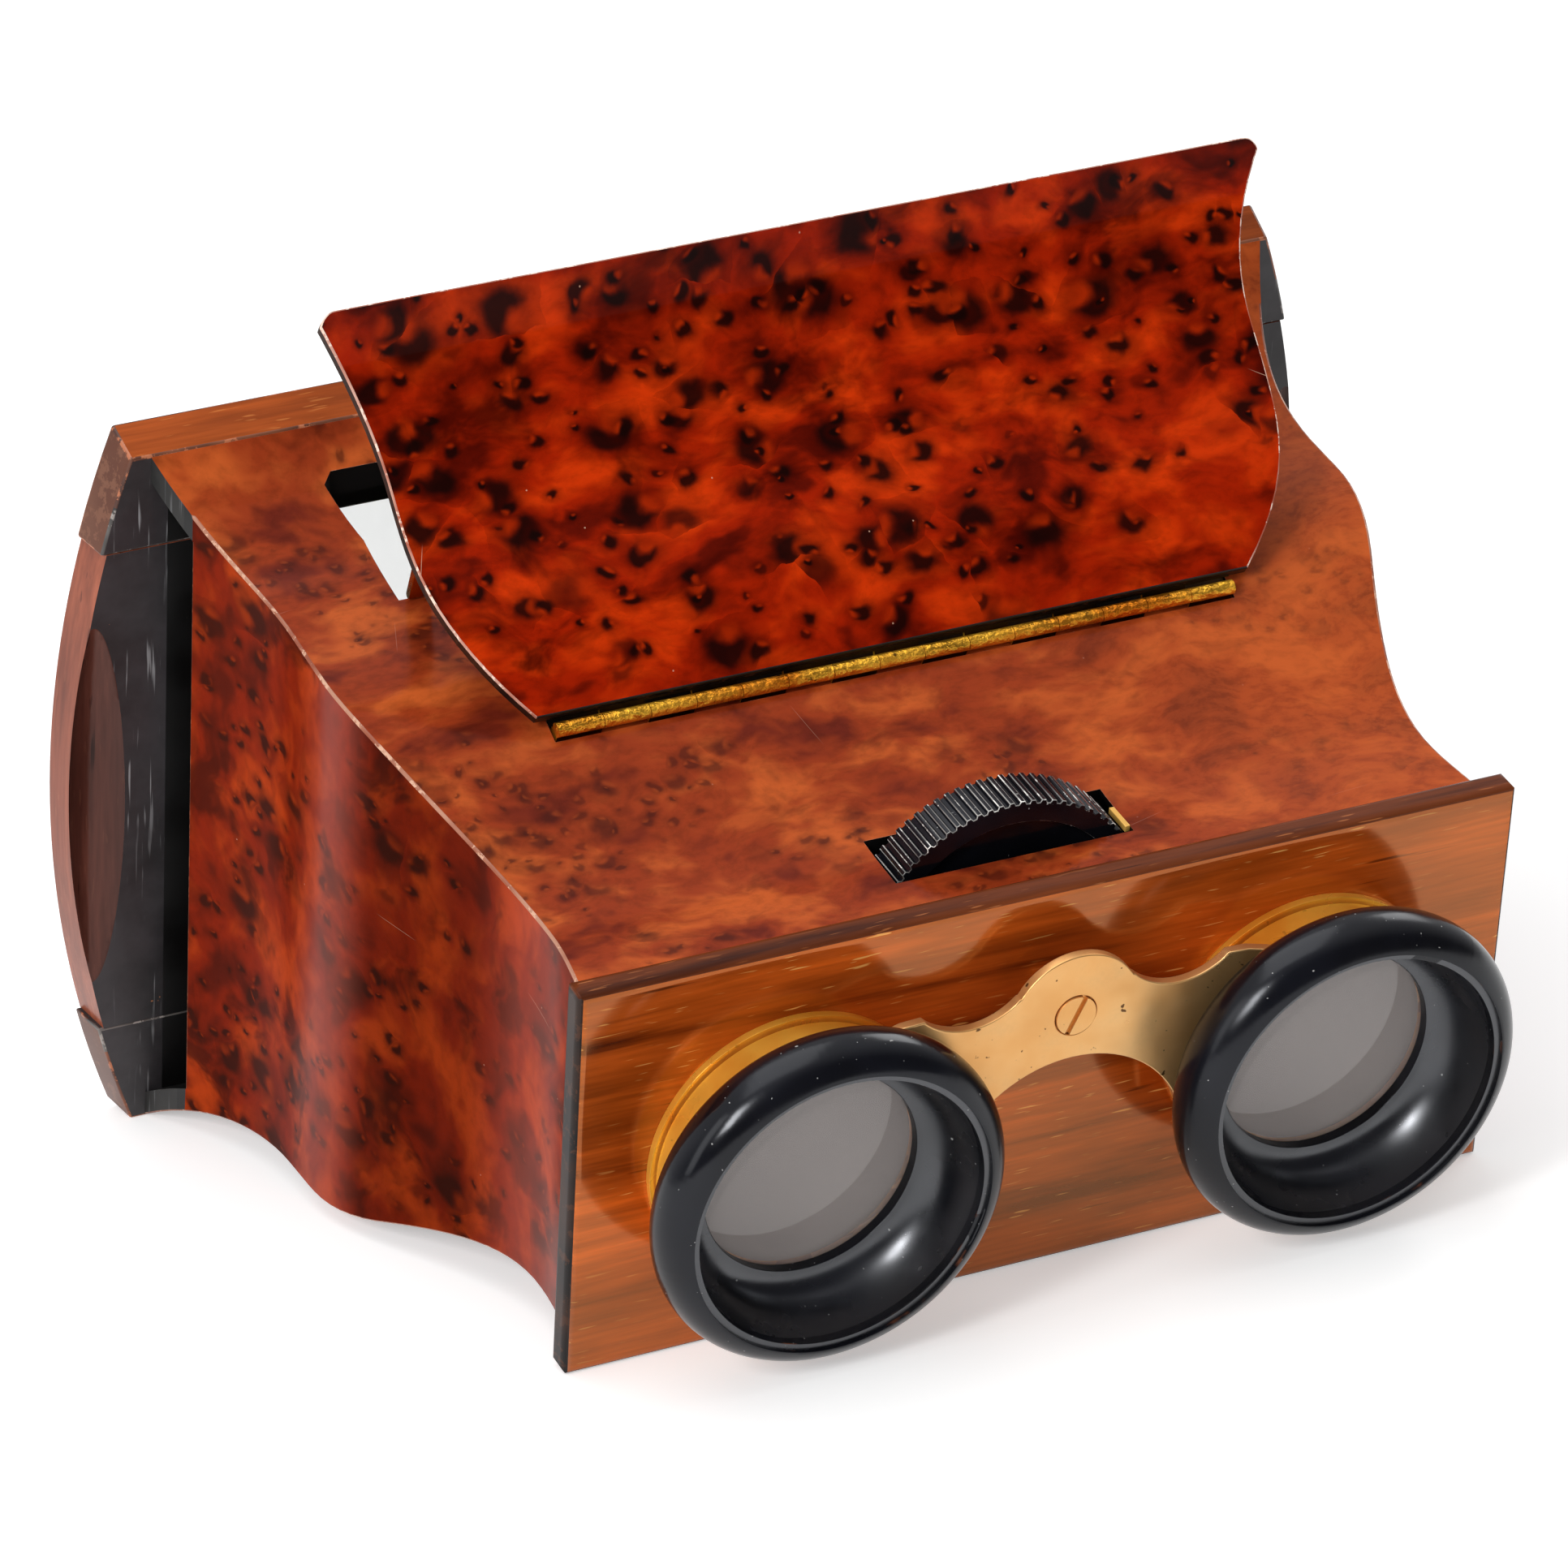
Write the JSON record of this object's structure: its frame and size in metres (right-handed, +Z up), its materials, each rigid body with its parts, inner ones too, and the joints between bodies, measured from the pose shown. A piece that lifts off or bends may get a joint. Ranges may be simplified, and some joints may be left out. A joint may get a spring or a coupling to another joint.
{
  "type": "stereoscope",
  "caption": "Hand stereoscope in burl wood with focusing brass eyepieces, a hinged lid that lets light in, and a rear slot that takes paired slides.",
  "frame": {"origin": "centre of the bounding box in plan, on the table that the stereoscope stands on", "axes": "+X to the viewer's right across the two eyepieces, +Y from the eyepieces towards the rear window, +Z up. The optical axis runs from front to rear and climbs 13.3 degrees, because the stereoscope rests tipped forward."},
  "size_m": [0.1966, 0.15, 0.1347],
  "materials": {
    "board_wood": "straight-grained rosewood, polished",
    "burl_top": "burl veneer, glossy varnish",
    "burl_lid": "burl veneer, glossy varnish",
    "side_veneer": "dark burl veneer, glossy varnish",
    "dark_wood": "blackened, matt",
    "frame_wood": "straight-grained, satin; black stain on the inner faces",
    "ground_glass": "finely ground on one face",
    "mirror": "silvered glass",
    "hinge_brass": "lacquered, worn",
    "fitting_brass": "lacquered, satin",
    "bridge_brass": "lacquered, satin, with small dark pits",
    "tube_brass": "lacquered, polished",
    "black_ebonite": "turned and polished hard rubber",
    "lens_glass": "polished"
  },
  "bodies": {
    "body": {"lens_board": "board_wood", "top_panel": "burl_top", "bottom_panel": "side_veneer", "left_side": "side_veneer", "right_side": "side_veneer", "septum": "dark_wood", "rear_top_rail": "frame_wood", "rear_bottom_rail": "frame_wood", "rear_left_stile": "frame_wood", "rear_right_stile": "frame_wood", "rear_glass": "ground_glass", "glass_beads": "frame_wood", "hinge_body_leaf": "hinge_brass", "hinge_pin": "hinge_brass", "hinge_body_screws": "hinge_brass", "wheel_bracket": "fitting_brass", "bracket_screws": "fitting_brass", "slot_strip": "fitting_brass", "left_sleeve": "tube_brass", "right_sleeve": "tube_brass", "left_sleeve_nut": "tube_brass", "right_sleeve_nut": "tube_brass"},
    "lid": {"lid": "burl_lid", "lid_mirror": "mirror", "hinge_lid_leaf": "hinge_brass", "hinge_lid_screws": "hinge_brass", "prop_bracket": "fitting_brass", "prop_pin": "fitting_brass"},
    "prop": {"lid_prop": "fitting_brass"},
    "wheel": {"focus_wheel": "black_ebonite", "wheel_hub": "fitting_brass"},
    "eyepieces": {"focus_spindle": "fitting_brass", "bridge_plate": "bridge_brass", "bridge_screw": "fitting_brass", "left_draw_tube": "tube_brass", "right_draw_tube": "tube_brass", "left_eyecup": "black_ebonite", "right_eyecup": "black_ebonite", "left_lens": "lens_glass", "right_lens": "lens_glass"}
  },
  "joints": [
    {"name": "lid_hinge", "type": "hinge", "parent": "body", "child": "lid", "pos_m": [0, -0.01199, 0.07867], "axis": [1, 0, 0], "range_deg": [-35.8, 0]},
    {"name": "lid_prop_fold", "type": "hinge", "parent": "lid", "child": "prop", "pos_m": [0, 0.00808, 0.1064], "axis": [1, 0, 0], "range_deg": [0, 121.8]},
    {"name": "focus_wheel_turn", "type": "hinge", "parent": "body", "child": "wheel", "pos_m": [0, -0.04164, 0.04806], "axis": [0, 0.9731, 0.2303], "range_deg": [0, 360]},
    {"name": "focus_slide", "type": "slide", "parent": "body", "child": "eyepieces", "axis": [0, -0.9731, -0.2303], "range_m": [0, 0.009]}
  ],
  "couplings": [
    {"joint": "lid_prop_fold", "follows": "lid_hinge", "ratio": -3.4},
    {"joint": "focus_wheel_turn", "follows": "focus_slide", "rad_per_m": 698.13}
  ]
}
